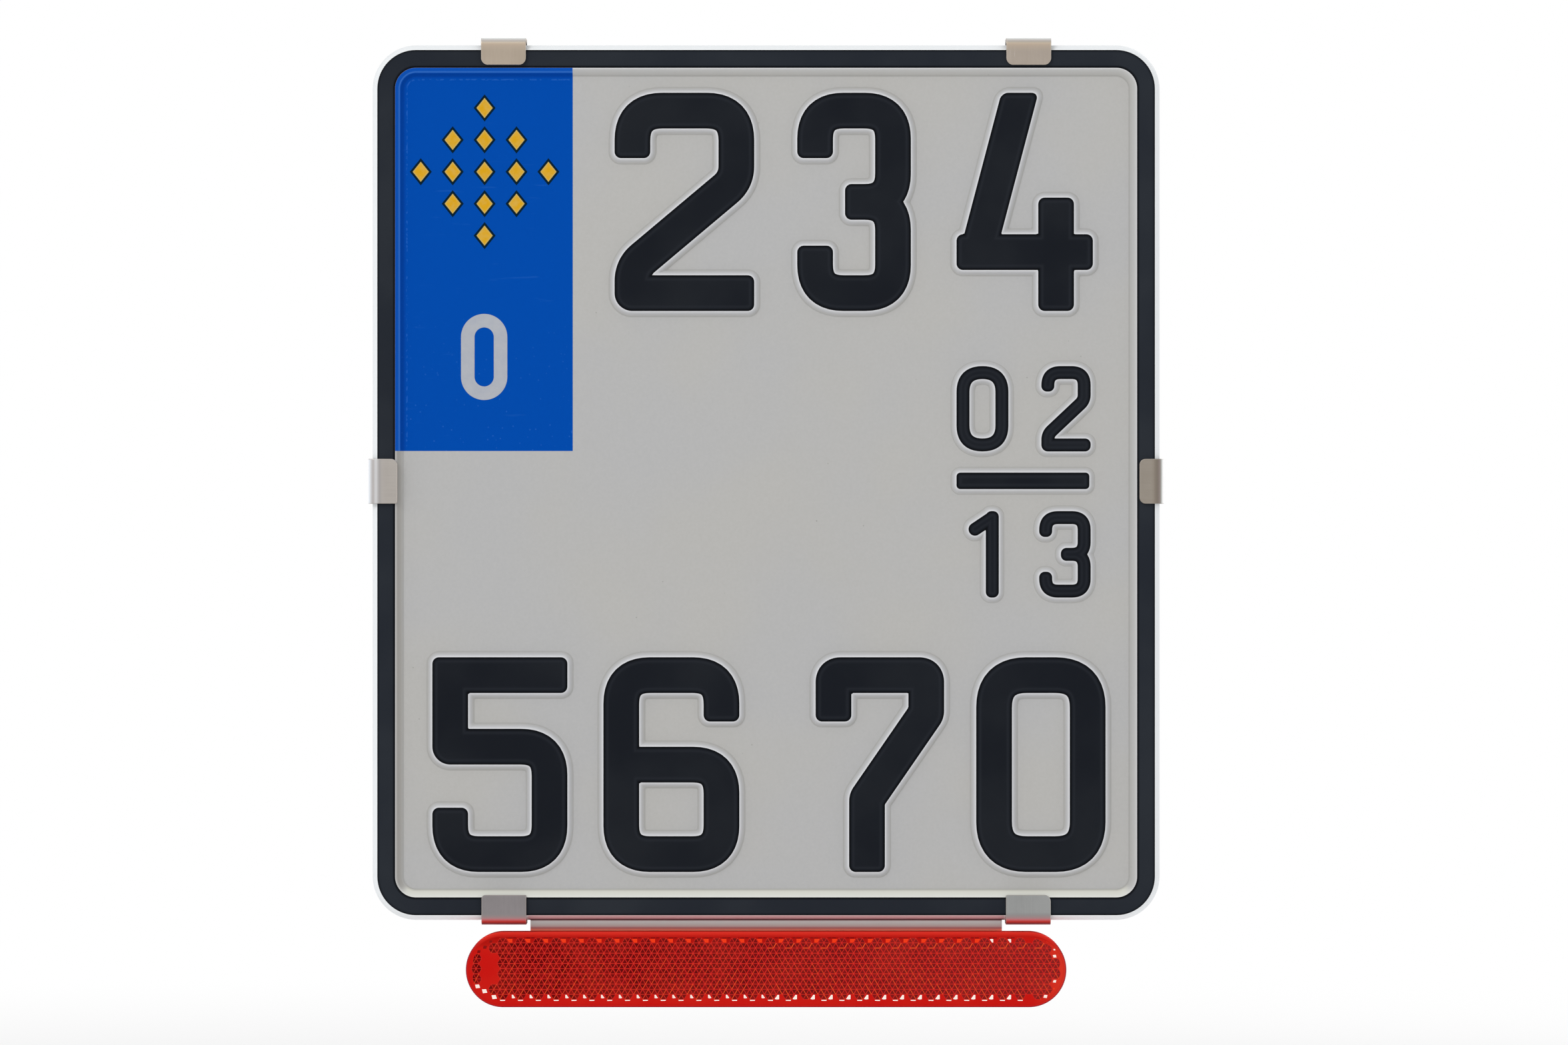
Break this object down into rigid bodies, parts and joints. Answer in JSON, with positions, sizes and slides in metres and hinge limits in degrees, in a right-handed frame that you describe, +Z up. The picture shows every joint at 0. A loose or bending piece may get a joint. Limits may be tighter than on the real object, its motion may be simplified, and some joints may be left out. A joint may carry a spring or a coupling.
{
  "type": "motorcycle license plate holder",
  "caption": "Flat stainless plate holder with fold-over clips, a pressed number plate in its pocket and a long red reflector on a flange below.",
  "frame": {"origin": "middle of the holder sheet's flat rear face, which lies on the vehicle's bracket", "axes": "+Y out of the rear face, away from the viewer of the plate; +Z up along the plate's height; +X right as seen from the front"},
  "size_m": [0.1818, 0.0235, 0.2214],
  "materials": {
    "stainless": "bright rolled stainless, a little worn at the clips",
    "plate_film": "white retroreflective film on pressed aluminium sheet",
    "foam": "closed-cell foam, matt",
    "zinc": "bright zinc plate",
    "tape": "adhesive foam tape, matt",
    "black_plastic": "moulded, satin",
    "red_lens": "clear red acrylic with moulded corner cubes"
  },
  "bodies": {
    "root": {"back_sheet": "stainless", "number_plate": "plate_film", "left_foam_strip": "foam", "right_foam_strip": "foam", "top_foam_strip": "foam", "bottom_foam_strip": "foam", "top_left_screw": "zinc", "top_right_screw": "zinc", "bottom_left_screw": "zinc", "bottom_right_screw": "zinc", "top_left_washer": "zinc", "top_right_washer": "zinc", "bottom_left_washer": "zinc", "bottom_right_washer": "zinc", "top_left_lock_nut": "zinc", "top_right_lock_nut": "zinc", "bottom_left_lock_nut": "zinc", "bottom_right_lock_nut": "zinc", "reflector_tape": "tape", "reflector_cover": "black_plastic", "reflector_lens": "red_lens"},
    "top_left_lip": {"top_left_clip": "stainless"},
    "top_right_lip": {"top_right_clip": "stainless"},
    "left_lip": {"left_clip": "stainless"},
    "right_lip": {"right_clip": "stainless"},
    "bottom_left_lip": {"bottom_left_clip": "stainless"},
    "bottom_right_lip": {"bottom_right_clip": "stainless"}
  },
  "joints": [
    {"name": "top_left_fold", "type": "hinge", "parent": "root", "child": "top_left_lip", "pos_m": [-0.06, -0.00782, 0.10092], "axis": [-1, 0, 0], "range_deg": [0, 90]},
    {"name": "top_right_fold", "type": "hinge", "parent": "root", "child": "top_right_lip", "pos_m": [0.06, -0.00782, 0.10092], "axis": [-1, 0, 0], "range_deg": [0, 90]},
    {"name": "left_fold", "type": "hinge", "parent": "root", "child": "left_lip", "pos_m": [-0.09052, -0.00782, 0], "axis": [0, 0, -1], "range_deg": [0, 90]},
    {"name": "right_fold", "type": "hinge", "parent": "root", "child": "right_lip", "pos_m": [0.09052, -0.00782, 0], "axis": [0, 0, 1], "range_deg": [0, 90]},
    {"name": "bottom_left_fold", "type": "hinge", "parent": "root", "child": "bottom_left_lip", "pos_m": [-0.0599, -0.00782, -0.10092], "axis": [1, 0, 0], "range_deg": [0, 90]},
    {"name": "bottom_right_fold", "type": "hinge", "parent": "root", "child": "bottom_right_lip", "pos_m": [0.0599, -0.00782, -0.10092], "axis": [1, 0, 0], "range_deg": [0, 90]}
  ]
}
